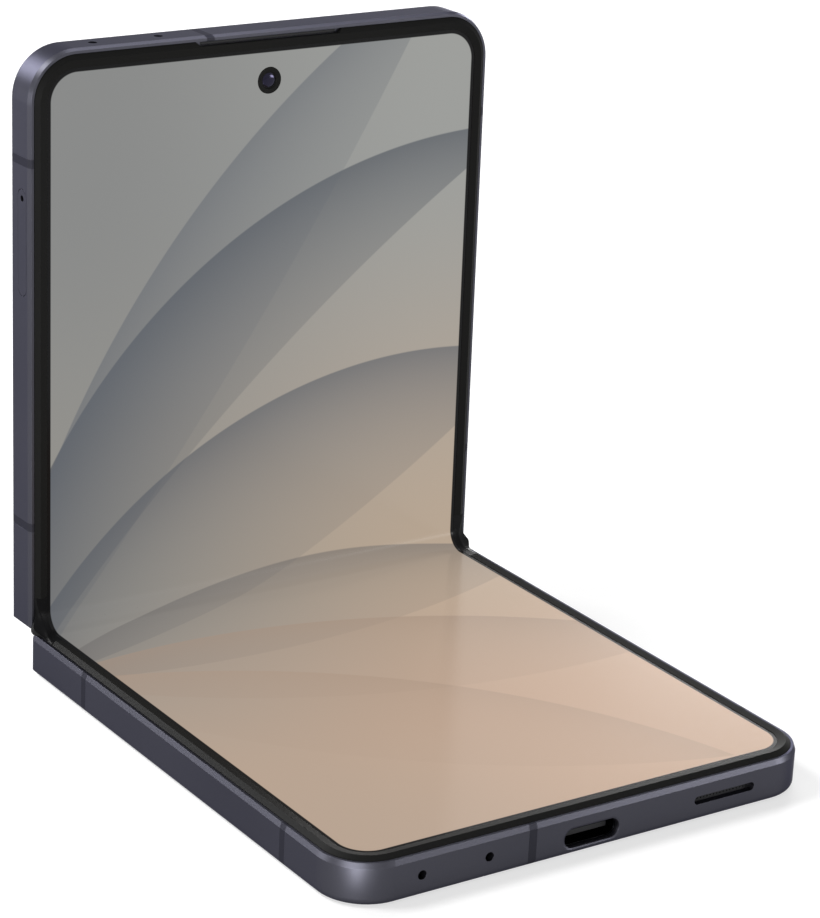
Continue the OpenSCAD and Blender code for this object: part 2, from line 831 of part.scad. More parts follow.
// Bracket screwed to the beam, carrying an arc rail about the fold axis
module hinge_rails(x) {
  both_sides() difference() {
    union() {
      block(x - rail_len / 2, x + rail_len / 2, wing_start, wing_end, wing_top, wing_bottom);
      block(x - rail_len / 2, x + rail_len / 2, tab_start, wing_end, wing_bottom - eps, tab_bottom);
      translate([x - rail_len / 2, axis_in, -axis_drop]) rotate([0, 90, 0])
        rotate([0, 0, 90 - rail_near_angle - rail_sweep]) rotate_extrude(angle = rail_sweep)
          translate([rail_in, 0]) square([rail_out - rail_in, rail_len]);
    }
    post(x, tab_screw, screw_r + 0.05, 0, 2);
    post(x, tab_screw, screw_head_r + 0.05, 0, wing_bottom);
  }
}

module lower_hinge_rails() {
  color(steel) in_lower() hinge_rails(rail_lower_x);
}

module upper_hinge_rails() {
  color(steel) in_upper() hinge_rails(rail_upper_x);
}

// ---------- screws and magnets ----------

module screws(board_top, places, rail_x) {
  for (p = places) {
    post(p[0], p[1], screw_r, board_top - 1.6, board_top + board_t + eps);
    post(p[0], p[1], screw_head_r, board_top + board_t, board_top + board_t + 0.1);
  }
  both_sides() {
    post(rail_x, tab_screw, screw_head_r, wing_top + 0.02, wing_bottom);
    post(rail_x, tab_screw, screw_r, wing_bottom - eps, 3.2);
  }
}

module lower_screws() {
  color(silver) in_lower() screws(lower_board_top, lower_bosses, rail_lower_x);
}

module upper_screws() {
  color(silver) in_upper() screws(upper_board_top, upper_bosses, rail_upper_x);
}

module magnets() {
  color(silver) both_sides() block(magnet_x - magnet_w / 2, magnet_x + magnet_w / 2,
    magnet_y - magnet_len / 2, magnet_y + magnet_len / 2, stack_top, 3);
}

module lower_magnets() {
  in_lower() magnets();
}

module upper_magnets() {
  in_upper() magnets();
}

// ---------- inside the lower half ----------

module lower_battery() {
  color(silver) in_lower()
    block(-battery_half, battery_half, battery_start, lower_battery_end, stack_top, battery_bottom);
}

module charging_coil() {
  middle = (battery_start + lower_battery_end) / 2;
  color(copper) in_lower() difference() {
    post(0, middle, coil_outer_r, glass_seat - 0.6, glass_seat - 0.2);
    post(0, middle, coil_inner_r, 0, body_t);
  }
}

module board_outline(x0, x1, y0, board_top) {
  intersection() {
    block(x0, x1, y0, half_len, board_top, board_top + board_t);
    layer(wall_t + board_side, beam_end, 0, body_t);
  }
}

module screw_holes(places) {
  for (p = places) post(p[0], p[1], screw_r + 0.1, 0, body_t);
}

module sub_board() {
  color(board_green) in_lower() difference() {
    board_outline(-body_w, lower_board_right, lower_board_start, lower_board_top);
    screw_holes(lower_bosses);
    // seat of the port shell, sunk into the board's edge
    block(-shell_w / 2 - part_gap, shell_w / 2 + part_gap,
      half_len - shell_in - shell_len - part_gap, half_len, 0, body_t);
  }
}

module usb_c_shell() {
  color(silver) in_lower() translate([0, 0, -port_drop]) {
    from_far_end(shell_in, shell_len) difference() {
      stadium(shell_w, shell_h);
      stadium(shell_w - 2 * shell_wall, shell_h - 2 * shell_wall);
    }
    from_far_end(shell_in + shell_len - 0.6, 0.6) stadium(shell_w - shell_wall, shell_h - shell_wall);
  }
}

module usb_c_tongue() {
  color(black) in_lower()
    block(-3.35, 3.35, half_len - shell_in - shell_len + 0.6, half_len - 1.6, port_drop - 0.35, port_drop + 0.35);
}

module loudspeaker() {
  color(black) in_lower() intersection() {
    block(lower_board_right + 2, body_w, bay_end - speaker_box_len, half_len, stack_top, glass_seat - 0.15);
    layer(wall_t + 2 * part_gap, beam_end, 0, body_t);
  }
}

module speaker_mesh() {
  pitch = (speaker_w - speaker_h) / 16;
  color(glass_black) in_lower() translate([speaker_x, 0, -hole_drop]) from_far_end(0.9, 0.2) difference() {
    stadium(speaker_w - 0.04, speaker_h - 0.04);
    for (i = [-8:8], j = [-1, 1]) translate([i * pitch, j * 0.2]) circle(0.12, $fn = 16);
  }
}

module microphones(board_top) {
  for (x = [mic_outer_x, mic_inner_x])
    block(-x - mic_can_w / 2, -x + mic_can_w / 2, bay_end - 0.9 * mic_can_w, bay_end - 0.5,
      hole_drop - 0.6, board_top);
}

module lower_microphones() {
  color(silver) in_lower() microphones(lower_board_top);
}

module vibration_motor() {
  color(silver) in_lower()
    post(2.1 * motor_r - bay_half, lower_board_start + motor_r + 3, motor_r, stack_top, lower_board_top);
}

// ---------- inside the upper half ----------

module upper_battery() {
  color(silver) in_upper()
    block(-battery_half, battery_half, battery_start, upper_battery_end, stack_top, battery_bottom);
}

module main_board() {
  color(board_green) in_upper() difference() {
    union() {
      board_outline(-body_w, main_board_right, main_board_start, upper_board_top);
      intersection() {
        board_outline(-body_w, body_w, main_board_start, upper_board_top);
        block(-body_w, body_w, 0, main_board_wide_end, 0, body_t);
      }
    }
    screw_holes(upper_bosses);
  }
}

module shield_cans() {
  top = upper_board_top + board_t;
  color(silver) in_upper() {
    block(4.4 - bay_half, main_board_right - 10.7, main_board_start + 2,
      main_board_wide_end - 2.3, top, glass_seat - 0.6);
    block(main_board_right - 3.2, bay_half - 6.4, main_board_start + 4.5,
      main_board_wide_end - 2.3, top, glass_seat - 0.6);
  }
}

module cover_display() {
  color(glass_black) in_upper() difference() {
    block(4 - body_w / 2, body_w / 2 - 4, beam_end + 0.5, bay_end - 2, glass_seat - 0.5, glass_seat);
    at_cameras() post(0, 0, ring_r + 0.2, 0, body_t);
    post(flash_x, cam_y, flash_r + 0.2, 0, body_t);
  }
}

module rear_cameras() {
  color(black) in_upper() at_cameras() {
    block(-cam_box / 2, cam_box / 2, -cam_box / 2, cam_box / 2, stack_top, glass_seat - 0.6);
    post(0, 0, ring_r - 1.4, glass_seat - 0.7, body_t);
  }
}

module camera_rings() {
  color(silver) in_upper() at_cameras() difference() {
    post(0, 0, ring_r, glass_seat - 0.4, body_t + ring_proud);
    post(0, 0, ring_r - 1.2, 0, body_t + ring_proud + 1);
  }
}

module camera_lenses() {
  color(glass_black) in_upper() at_cameras()
    post(0, 0, ring_r - 1.25, body_t + 0.01, body_t + ring_proud - 0.15);
}

module flash_lens() {
  color(silver) in_upper() post(flash_x, cam_y, flash_r, glass_seat - 0.5, body_t);
}

module front_camera() {
  hole_y = half_len - front_hole_in;
  color(black) in_upper() {
    post(0, hole_y, front_hole_d / 2 + 0.1, ledge + 0.05, stack_top + 0.1);
    block(-front_box / 2, front_box / 2, hole_y - front_box / 2, hole_y + front_box / 2,
      stack_top, upper_board_top);
  }
}

module front_camera_window() {
  color(glass_black) in_upper() post(0, half_len - front_hole_in, front_hole_d / 2 - 0.03, 0.02, ledge);
}

module earpiece() {
  color(black) in_upper() block(mic_can_w / 2 + 1.2 - mic_inner_x, -front_box / 2 - 0.8,
    bay_end - 0.1 - ear_box_len, bay_end - 0.1, stack_top, 3.4);
}

module earpiece_mesh() {
  color(glass_black) in_upper()
    block(1.05 - ear_w / 2, ear_w / 2 - 1.05, half_len - 1.2, half_len - 0.85, ledge + 0.05, ledge + 0.25);
}

module upper_microphones() {
  color(silver) in_upper() microphones(upper_board_top);
}

module card_reader() {
  color(silver) in_upper() translate([0, half_len - tray_in, -tray_drop]) mirror([1, 0, 0]) difference() {
    from_right(wall_t + 0.3, tray_len - 0.9) square([tray_w + 0.4, 2.1], center = true);
    from_right(0, tray_len + 0.2) square([tray_plate_w + 0.2, tray_plate_t + 0.2], center = true);
  }
}

module card_tray() {
  card_w = 12.3;
  color(metal) in_upper() translate([0, half_len - tray_in, -tray_drop]) mirror([1, 0, 0]) difference() {
    union() {
      from_right(0, 1) stadium(tray_w, tray_h);
      from_right(1, tray_len - 1) square([tray_plate_w, tray_plate_t], center = true);
    }
    from_right(-1, 1.8) translate([tray_w / 2 - 1.3, 0]) circle(0.45, $fn = 24);
    from_right(2.4, 8.8) translate([0, tray_plate_t / 2]) square([card_w, 1.4], center = true);
    from_right(3.4, 6.8) square([card_w - 2, 3], center = true);
  }
}

module side_button(length, place) {
  color(metal) in_upper() translate([0, half_len - place, -tray_drop]) {
    from_right(-key_proud, key_proud + flange_in + 0.1) stadium(length, key_h);
    from_right(flange_in, flange_t) square([length + 1, key_h + 0.5], center = true);
  }
}

module volume_key() {
  side_button(volume_w, volume_in);
}

module side_key() {
  side_button(side_w, side_in);
}

module key_switches() {
  switch_in = flange_in + flange_t + key_travel + 0.05;
  color(silver) in_upper() for (k = [[volume_w, volume_in, volume_w / 4], [side_w, side_in, 0]])
    translate([0, half_len - k[1], -tray_drop]) {
      from_right(wall_t, 0.3) square([k[0] + 2.4, key_h - 0.1], center = true);
      for (side = [-1, 1]) from_right(switch_in, wall_t + 0.1 - switch_in)
        translate([side * k[2], 0]) square([3, 1.6], center = true);
    }
}

// ---------- drawing ----------

lower_frame();
lower_antenna_bands();
lower_bezel();
display_lower();
lower_display_plate();
lower_back_cover();
lower_battery();
charging_coil();
sub_board();
usb_c_shell();
usb_c_tongue();
loudspeaker();
speaker_mesh();
lower_microphones();
vibration_motor();
lower_screws();
lower_hinge_rails();
lower_magnets();
spine_cover();
spine_end_caps();
hinge_bases();
hinge_cams();
hinge_springs();
display_fold_lower();
display_fold_upper();
fold_trim_lower();
fold_trim_upper();
sync_arms_lower();
sync_arms_upper();
idler_gears_lower();
idler_gears_upper();
upper_frame();
upper_antenna_bands();
upper_bezel();
display_upper();
upper_display_plate();
upper_back_cover();
cover_display();
upper_battery();
main_board();
shield_cans();
rear_cameras();
camera_rings();
camera_lenses();
flash_lens();
front_camera();
front_camera_window();
earpiece();
earpiece_mesh();
upper_microphones();
key_switches();
card_reader();
upper_screws();
upper_hinge_rails();
upper_magnets();
card_tray();
volume_key();
side_key();
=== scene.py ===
# Folding phone of the clamshell kind, standing half open on its lower half.
import bmesh
import bpy
import json
import math
from mathutils import Matrix, Vector

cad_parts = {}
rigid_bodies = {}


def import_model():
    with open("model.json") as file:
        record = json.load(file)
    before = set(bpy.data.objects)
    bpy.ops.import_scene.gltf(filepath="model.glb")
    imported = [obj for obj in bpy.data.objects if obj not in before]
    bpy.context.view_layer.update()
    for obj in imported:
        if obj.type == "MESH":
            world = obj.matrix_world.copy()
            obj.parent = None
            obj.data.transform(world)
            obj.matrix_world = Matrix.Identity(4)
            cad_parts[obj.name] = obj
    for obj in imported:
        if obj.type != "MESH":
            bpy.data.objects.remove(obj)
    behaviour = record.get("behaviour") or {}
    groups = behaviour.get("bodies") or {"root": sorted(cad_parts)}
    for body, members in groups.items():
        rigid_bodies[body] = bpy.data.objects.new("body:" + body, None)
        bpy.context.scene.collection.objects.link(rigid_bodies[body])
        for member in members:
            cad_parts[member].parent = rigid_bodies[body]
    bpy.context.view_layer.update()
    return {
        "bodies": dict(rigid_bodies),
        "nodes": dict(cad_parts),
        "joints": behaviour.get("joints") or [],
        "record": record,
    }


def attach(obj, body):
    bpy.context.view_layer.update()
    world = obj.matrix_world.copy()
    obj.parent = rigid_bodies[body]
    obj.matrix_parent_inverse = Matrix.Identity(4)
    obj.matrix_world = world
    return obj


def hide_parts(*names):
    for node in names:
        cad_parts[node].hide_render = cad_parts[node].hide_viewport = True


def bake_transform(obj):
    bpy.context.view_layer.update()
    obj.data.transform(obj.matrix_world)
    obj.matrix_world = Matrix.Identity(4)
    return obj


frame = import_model()
nodes = frame["nodes"]

# Sizes that the pieces share with the solids, in millimetres and degrees
body = {
    "width": 75.2, "halfLength": 83.35, "depth": 6.25,
    "axisIn": 0.7, "axisDrop": 0.1, "fold": 44.6,
    "bendRadius": 2.9, "bendStart": 2.676,
}
# one millimetre in metres, and one metre in millimetres
millimetre, metre = 0.001, 1000
foldTurn = math.radians(body["fold"])
frame["slots"] = {part["node"]: part["material_slot"] for part in frame["record"]["subparts"]}


def placeOnLower():
    # half coordinates are across, away from the fold, up from the display
    flip = Matrix.Diagonal((1, -1, 1, 1))
    return Matrix.Scale(millimetre, 4) @ Matrix.Translation((0, body["halfLength"] / 2, body["depth"])) @ flip


def placeOnUpper():
    toSpine = Matrix.Translation((0, body["halfLength"] / 2 - body["axisIn"], body["depth"] - body["axisDrop"]))
    toSpine = toSpine @ Matrix.Rotation(foldTurn, 4, "X")
    toSpine = toSpine @ Matrix.Translation((0, 2 * body["axisIn"], 0)) @ Matrix.Rotation(foldTurn, 4, "X")
    return Matrix.Scale(millimetre, 4) @ toSpine @ Matrix.Translation((0, -body["axisIn"], body["axisDrop"]))


onLower = placeOnLower()
onUpper = placeOnUpper()


def colour(hexValue):
    parts = [int(hexValue[i:i + 2], 16) / 255 for i in (1, 3, 5)]
    return [p / 12.92 if p <= 0.04045 else ((p + 0.055) / 1.055) ** 2.4 for p in parts] + [1]


def addNode(tree, kind, settings=None, inputs=None, links=None):
    node = tree.nodes.new(kind)
    for name, value in (settings or {}).items():
        setattr(node, name, value)
    for name, value in (inputs or {}).items():
        node.inputs[name].default_value = value
    for name, socket in (links or {}).items():
        tree.links.new(socket, node.inputs[name])
    return node


def newMaterial(name):
    material = bpy.data.materials.new(name)
    material.use_nodes = True
    tree = material.node_tree
    tree.nodes.clear()
    output = addNode(tree, "ShaderNodeOutputMaterial")
    return material, tree, output


# What a finish has unless it says otherwise; drift, grain, relief and edge are in millimetres
plainFinish = {
    "metallic": 0, "ior": 1.5, "specular": 0.5, "tint": "#ffffff", "coat": 0, "coatRough": 0.1,
    "roughSpread": 0.05, "stretch": (1, 1, 1), "drift": 30, "relief": 0.01,
    "grainDetail": 2, "grainRough": 0.6, "driftDetail": 1, "grainShare": 0.5, "spread": (0.35, 1.15),
    "edgeSamples": 6,
}


def grainedSurface(name, finish):
    # one body colour with a soft drift, a fine grain and edges rounded by the shader
    look = {**plainFinish, **finish}
    material, tree, output = newMaterial(name)
    place = addNode(tree, "ShaderNodeTexCoord")
    stretch = addNode(tree, "ShaderNodeMapping", inputs={"Scale": look["stretch"]},
                      links={"Vector": place.outputs["Object"]})
    grain = addNode(tree, "ShaderNodeTexNoise",
                    inputs={"Scale": metre / look["grain"], "Detail": look["grainDetail"],
                            "Roughness": look["grainRough"]},
                    links={"Vector": stretch.outputs[0]})
    drift = addNode(tree, "ShaderNodeTexNoise",
                    inputs={"Scale": metre / look["drift"], "Detail": look["driftDetail"]},
                    links={"Vector": place.outputs["Object"]})
    blend = addNode(tree, "ShaderNodeMath", {"operation": "MULTIPLY_ADD"}, {1: look["grainShare"]},
                    {0: grain.outputs[0], 2: drift.outputs[0]})
    spread = addNode(tree, "ShaderNodeMapRange",
                     inputs={"From Min": look["spread"][0], "From Max": look["spread"][1]},
                     links={"Value": blend.outputs[0]})
    tint = addNode(tree, "ShaderNodeMix", {"data_type": "RGBA"}, {6: colour(look["dark"]), 7: colour(look["light"])},
                   {0: spread.outputs[0]})
    rough = addNode(tree, "ShaderNodeMapRange",
                    inputs={"To Min": look["rough"] - look["roughSpread"],
                            "To Max": look["rough"] + look["roughSpread"]},
                    links={"Value": grain.outputs[0]})
    edge = addNode(tree, "ShaderNodeBevel", {"samples": look["edgeSamples"]}, {"Radius": look["edge"] * millimetre})
    bump = addNode(tree, "ShaderNodeBump",
                   inputs={"Strength": look["bump"], "Distance": look["relief"] * millimetre},
                   links={"Height": grain.outputs[0], "Normal": edge.outputs[0]})
    surface = addNode(tree, "ShaderNodeBsdfPrincipled",
                      inputs={"Metallic": look["metallic"], "IOR": look["ior"],
                              "Specular IOR Level": look["specular"], "Specular Tint": colour(look["tint"]),
                              "Coat Weight": look["coat"], "Coat Roughness": look["coatRough"]},
                      links={"Base Color": tint.outputs[2], "Roughness": rough.outputs[0], "Normal": bump.outputs[0]})
    tree.links.new(surface.outputs[0], output.inputs["Surface"])
    return material


finishes = {
    # graphite anodised aluminium, bead blasted: a dim, cool metal with an even satin sheen
    "blastedAluminium": {"dark": "#3a3a41", "light": "#44444b", "metallic": 0.97, "rough": 0.38,
                         "roughSpread": 0.02, "grain": 0.12, "bump": 0.03, "relief": 0.012, "edge": 0.05,
                         "tint": "#b0b0b8"},
    # resin strips moulded into the frame, with metal flake in them: a shade darker than the metal, with less sheen
    "bandResin": {"dark": "#2a2a30", "light": "#303036", "metallic": 0.7, "rough": 0.45, "roughSpread": 0.02,
                  "specular": 0.05, "grain": 0.1, "bump": 0.03, "edge": 0.05, "tint": "#a0a0aa"},
    # moulded polyurethane bezel: soft charcoal with a low sheen
    "bezelResin": {"dark": "#0f0f0f", "light": "#131312", "rough": 0.55, "roughSpread": 0.01, "specular": 0.05,
                   "grain": 0.08, "bump": 0, "edge": 0.02},
    # thermoplastic film over the fold: black and a little glossy, so its creases catch the light
    "foldFilm": {"dark": "#050506", "light": "#080809", "rough": 0.5, "roughSpread": 0.01, "specular": 0.08,
                 "grain": 0.2, "bump": 0.005, "edge": 0.04},
    # etched back glass over a graphite film: silky, without a sharp reflection
    "etchedGlass": {"dark": "#33333b", "light": "#3a3a43", "rough": 0.36, "grain": 0.06, "bump": 0.05, "edge": 0.1,
                    "coat": 0.25, "coatRough": 0.3, "drift": 60},
    # polished cover glass over black ink: deep black with a clear reflection
    "blackGlass": {"dark": "#050506", "light": "#08080a", "rough": 0.07, "roughSpread": 0.01, "specular": 0.4,
                   "grain": 0.4, "bump": 0, "edge": 0.1, "drift": 60},
    # coated lens glass: black with a violet reflection
    "coatedLens": {"dark": "#030307", "light": "#06060c", "rough": 0.12, "roughSpread": 0.01, "tint": "#b4aee0",
                   "grain": 0.4, "bump": 0, "edge": 0.02},
    # rolled stainless sheet and machined steel: pale grey with a fine brushed line along the width
    "brushedSteel": {"dark": "#8d9094", "light": "#a5a8ac", "metallic": 1, "rough": 0.34, "roughSpread": 0.08,
                     "grain": 0.12, "stretch": (0.04, 1, 1), "bump": 0.15, "edge": 0.05},
    # polished steel wire, screws and plated magnets: brighter and tighter in its reflection
    "polishedSteel": {"dark": "#b2b4b8", "light": "#c2c4c8", "metallic": 1, "rough": 0.16, "grain": 0.15,
                      "bump": 0.04, "edge": 0.04},
    # black nickel plating of the port shell: dark, with a soft metal sheen
    "blackNickel": {"dark": "#1c1c1f", "light": "#242428", "metallic": 1, "rough": 0.3, "grain": 0.15, "bump": 0.05,
                    "edge": 0.05},
    # glass filled nylon housings: near black, dry and slightly pebbled
    "blackNylon": {"dark": "#0a0a0c", "light": "#111114", "rough": 0.55, "specular": 0.3, "grain": 0.15, "bump": 0.2,
                   "edge": 0.06},
    # frosted polycarbonate of the flash window, over the yellow of its lamp
    "flashResin": {"dark": "#c9bd93", "light": "#d8cfae", "rough": 0.3, "grain": 0.3, "bump": 0.05, "edge": 0.03},
    # solder masked laminate: deep green with a satin skin
    "boardLaminate": {"dark": "#12382c", "light": "#1a4a3a", "rough": 0.35, "grain": 0.5, "bump": 0.1, "edge": 0.03},
    # wound copper foil, lightly lacquered: warm and soft in its reflection
    "coilCopper": {"dark": "#a5623f", "light": "#c07a52", "metallic": 1, "rough": 0.3, "grain": 0.2, "bump": 0.15,
                   "edge": 0.03},
    # laminated pouch of a battery: charcoal foil with faint wrinkles
    "pouchFoil": {"dark": "#2c2c2f", "light": "#38383c", "rough": 0.38, "grain": 1.6, "bump": 0.25, "relief": 0.04,
                  "edge": 0.15},
    # hard gold over nickel on contacts
    "contactGold": {"dark": "#b08a4a", "light": "#c9a561", "metallic": 1, "rough": 0.25, "grain": 0.1, "bump": 0.03,
                    "edge": 0.03},
}
materials = {name: grainedSurface(name, look) for name, look in finishes.items()}
print("finishes made:", len(materials))

# Lit picture of the display: a fan of overlapping veils that crosses the fold
picture = {
    "halfWidth": 34.55, "lowerEnd": -80.3, "upperEnd": 80.67, "corner": 4.05, "rimBlur": 0.06, "mapSpan": 200,
    # colour at the left, colour at the right, and the places across where the change starts and ends
    "upper": ("#868786", "#9a9b98", -30, 32), "middle": ("#97948d", "#b6a38f", -34, 36),
    "lower": ("#b5a08e", "#c1a48e", -34, 20),
    # places along the display where the middle colours give way to the upper ones, and the lower ones to them
    "toUpper": (-6, 66), "toMiddle": (-58, 4),
    "root": (-46, -16), "veilBlur": 0.1,
    # tip, bulge of each side, tint, reach of the shade, strength, share left at the far side
    "veils": [
        ((44, 66), (26, -6), "#4d535c", 14, 0.75, 0.12),
        ((30, 92), (16, 4), "#5c626b", 10, 0.55, 0.15),
        ((48, 30), (20, 6), "#565b63", 11, 0.7, 0.15),
        ((50, -6), (14, 10), "#6b6867", 9, 0.6, 0.2),
        ((46, -44), (14, 12), "#a08b7b", 10, 0.6, 0.15),
        ((26, -80), (14, 12), "#a8917f", 10, 0.5, 0.1),
    ],
    # protective film over the picture, with a fine dust sheen
    "film": {"base": "#0b0b0c", "ior": 1.5, "specular": 0.12, "rough": (0.16, 0.2), "grain": 0.8, "detail": 2},
}


def litPicture(name, fromMap):
    # the panels read their place, and the bending strips the map that turns with them
    material, tree, output = newMaterial(name)

    def maths(kind, first, second=None):
        inputs, links = {}, {}
        for slot, value in enumerate((first, second)):
            if value is None:
                continue
            (inputs if isinstance(value, (int, float)) else links)[slot] = value
        return addNode(tree, "ShaderNodeMath", {"operation": kind}, inputs, links).outputs[0]

    def ramp(value, low, high, kind="SMOOTHSTEP"):
        return addNode(tree, "ShaderNodeMapRange", {"interpolation_type": kind},
                       {"From Min": low, "From Max": high}, {"Value": value}).outputs[0]

    def mixed(share, first, second):
        inputs, links = {}, {0: share}
        for slot, value in ((6, first), (7, second)):
            (inputs if isinstance(value, list) else links)[slot] = value
        return addNode(tree, "ShaderNodeMix", {"data_type": "RGBA"}, inputs, links).outputs[2]

    if fromMap:
        source = addNode(tree, "ShaderNodeUVMap", {"uv_map": "pictureMap"})
        span = picture["mapSpan"]
        spot = addNode(tree, "ShaderNodeVectorMath", {"operation": "MULTIPLY_ADD"},
                       {1: (span, span, 0), 2: (-span / 2, -span / 2, 0)}, {0: source.outputs[0]}).outputs[0]
    else:
        source = addNode(tree, "ShaderNodeTexCoord")
        along = addNode(tree, "ShaderNodeVectorMath", {"operation": "DOT_PRODUCT"},
                        {1: (0, metre, metre * math.tan(foldTurn))}, {0: source.outputs["Object"]})
        offset = body["halfLength"] / 2 + body["depth"] * math.tan(foldTurn)
        across = addNode(tree, "ShaderNodeSeparateXYZ", links={0: source.outputs["Object"]})
        spot = addNode(tree, "ShaderNodeCombineXYZ",
                       links={0: maths("MULTIPLY", across.outputs[0], metre),
                              1: maths("SUBTRACT", along.outputs["Value"], offset)}).outputs[0]
    apart = addNode(tree, "ShaderNodeSeparateXYZ", links={0: spot})
    x, t = apart.outputs[0], apart.outputs[1]

    upper, middle, lower = (mixed(ramp(x, start, end), colour(left), colour(right))
                            for left, right, start, end in map(picture.get, ("upper", "middle", "lower")))
    tone = mixed(ramp(t, *picture["toUpper"]), middle, upper)
    tone = mixed(maths("SUBTRACT", 1, ramp(t, *picture["toMiddle"])), tone, lower)

    root = Vector(picture["root"])
    blur = picture["veilBlur"]
    for tip, bulges, tint, reach, strength, rest in picture["veils"]:
        chord = Vector(tip) - root
        middlePoint = root + chord / 2
        square = Vector((-chord.y, chord.x)).normalized()
        depths = []
        for side, bulge in zip((1, -1), bulges):
            height = bulge * side
            radius = (chord.length_squared / 4 + height * height) / (2 * abs(height))
            turn = math.copysign(1, height)
            centre = middlePoint + square * (height - turn * radius)
            away = addNode(tree, "ShaderNodeVectorMath", {"operation": "DISTANCE"},
                           {1: (centre.x, centre.y, 0)}, {0: spot}).outputs["Value"]
            inside = maths("SUBTRACT", radius, away)
            depths.append(inside if turn * side > 0 else maths("MULTIPLY", inside, -1))
        edge = maths("MULTIPLY", *(ramp(depth, -blur, blur, "LINEAR") for depth in depths))
        fade = maths("EXPONENT", maths("MULTIPLY", maths("MAXIMUM", depths[0], 0), -1 / reach))
        shade = maths("ADD", maths("MULTIPLY", fade, 1 - rest), rest)
        tone = mixed(maths("MULTIPLY", maths("MULTIPLY", edge, shade), strength), tone, colour(tint))

    # rounded edge of the lit area
    centre = (picture["lowerEnd"] + picture["upperEnd"]) / 2
    half = (picture["upperEnd"] - picture["lowerEnd"]) / 2
    corner, rim = picture["corner"], picture["rimBlur"]
    pastX = maths("SUBTRACT", maths("ABSOLUTE", x), picture["halfWidth"] - corner)
    pastT = maths("SUBTRACT", maths("ABSOLUTE", maths("SUBTRACT", t, centre)), half - corner)
    outX, outT = maths("MAXIMUM", pastX, 0), maths("MAXIMUM", pastT, 0)
    away = maths("SQRT", maths("ADD", maths("MULTIPLY", outX, outX), maths("MULTIPLY", outT, outT)))
    lit = maths("SUBTRACT", 1, ramp(away, corner - rim, corner + rim, "LINEAR"))
    tone = mixed(lit, colour("#000000"), tone)

    film = picture["film"]
    place = addNode(tree, "ShaderNodeTexCoord")
    dust = addNode(tree, "ShaderNodeTexNoise", inputs={"Scale": metre / film["grain"], "Detail": film["detail"]},
                   links={"Vector": place.outputs["Object"]})
    rough = addNode(tree, "ShaderNodeMapRange", inputs={"To Min": film["rough"][0], "To Max": film["rough"][1]},
                    links={"Value": dust.outputs[0]})
    surface = addNode(tree, "ShaderNodeBsdfPrincipled",
                      inputs={"Base Color": colour(film["base"]), "IOR": film["ior"],
                              "Specular IOR Level": film["specular"], "Emission Strength": 1},
                      links={"Roughness": rough.outputs[0], "Emission Color": tone})
    tree.links.new(surface.outputs[0], output.inputs["Surface"])
    return material


materials["litPanel"] = litPicture("litPanel", False)
materials["litStrip"] = litPicture("litStrip", True)
print("display picture made")

finishOfSlot = {
    "frame_metal": "blastedAluminium", "antenna_plastic": "bandResin", "bezel_black": "bezelResin",
    "screen_glass": "litPanel", "back_glass": "etchedGlass", "black_glass": "blackGlass",
    "hinge_steel": "brushedSteel", "bright_steel": "polishedSteel", "black_plastic": "blackNylon",
    "circuit_board": "boardLaminate", "copper": "coilCopper", "battery_foil": "pouchFoil",
}
finishOfNode = {"usb_c_shell": "blackNickel", "spine_end_caps": "foldFilm"}
for part in frame["record"]["subparts"]:
    mesh = nodes[part["node"]].data
    finish = materials[finishOfNode.get(part["node"], finishOfSlot[part["material_slot"]])]
    if not mesh.materials:
        mesh.materials.append(finish)
    for index in range(len(mesh.materials)):
        mesh.materials[index] = finish
print("solids finished:", len(nodes))


def sortParts(parts, keyOf):
    # the operators leave their parts in an order that changes from run to run
    ranks = {part: rank for rank, part in enumerate(sorted(parts, key=keyOf))}
    parts.sort(key=ranks.get)


def finishPiece(name, shape, place, finishNames, smoothAngle=30):
    # the shape comes in half coordinates and leaves as an object at the origin
    sortParts(shape.verts, lambda vert: tuple(vert.co))
    shape.verts.index_update()
    for parts in (shape.edges, shape.faces):
        sortParts(parts, lambda part: sorted(vert.index for vert in part.verts))
    bmesh.ops.transform(shape, matrix=place, verts=shape.verts)
    bmesh.ops.recalc_face_normals(shape, faces=shape.faces)
    mesh = bpy.data.meshes.new(name)
    shape.to_mesh(mesh)
    shape.free()
    for finishName in finishNames:
        mesh.materials.append(materials[finishName])
    piece = bpy.data.objects.new(name, mesh)
    bpy.context.scene.collection.objects.link(piece)
    mesh.shade_smooth()
    mesh.set_sharp_from_angle(angle=math.radians(smoothAngle))
    return piece


# Bending strip of the display, one on each side of the fold line
strip = {
    "halfWidth": 36.09, "start": 3.42, "thickness": 0.28, "straightSteps": 4, "bendSteps": 24,
    # least share by which a lit face looks at the middle of the bend
    "facing": 0.7,
}


def bendPoint(turn, radius=body["bendRadius"]):
    # away from the fold line and up, where the sheet has turned by this much from its straight part
    return body["bendStart"] - radius * math.sin(turn), body["bendRadius"] - radius * math.cos(turn)


def alongBend(shape, face):
    # carries the section of the strip straight to the bend and then round it
    step = (strip["start"] - body["bendStart"]) / strip["straightSteps"]
    turn = Matrix.Rotation(-foldTurn / strip["bendSteps"], 3, "X")
    for index in range(strip["straightSteps"] + strip["bendSteps"]):
        grown = bmesh.ops.extrude_face_region(shape, geom=[face])["geom"]
        verts = [g for g in grown if isinstance(g, bmesh.types.BMVert)]
        face = [g for g in grown if isinstance(g, bmesh.types.BMFace)][0]
        if index < strip["straightSteps"]:
            bmesh.ops.translate(shape, verts=verts, vec=(0, -step, 0))
        else:
            bmesh.ops.rotate(shape, verts=verts, cent=(0, body["bendStart"], body["bendRadius"]), matrix=turn)


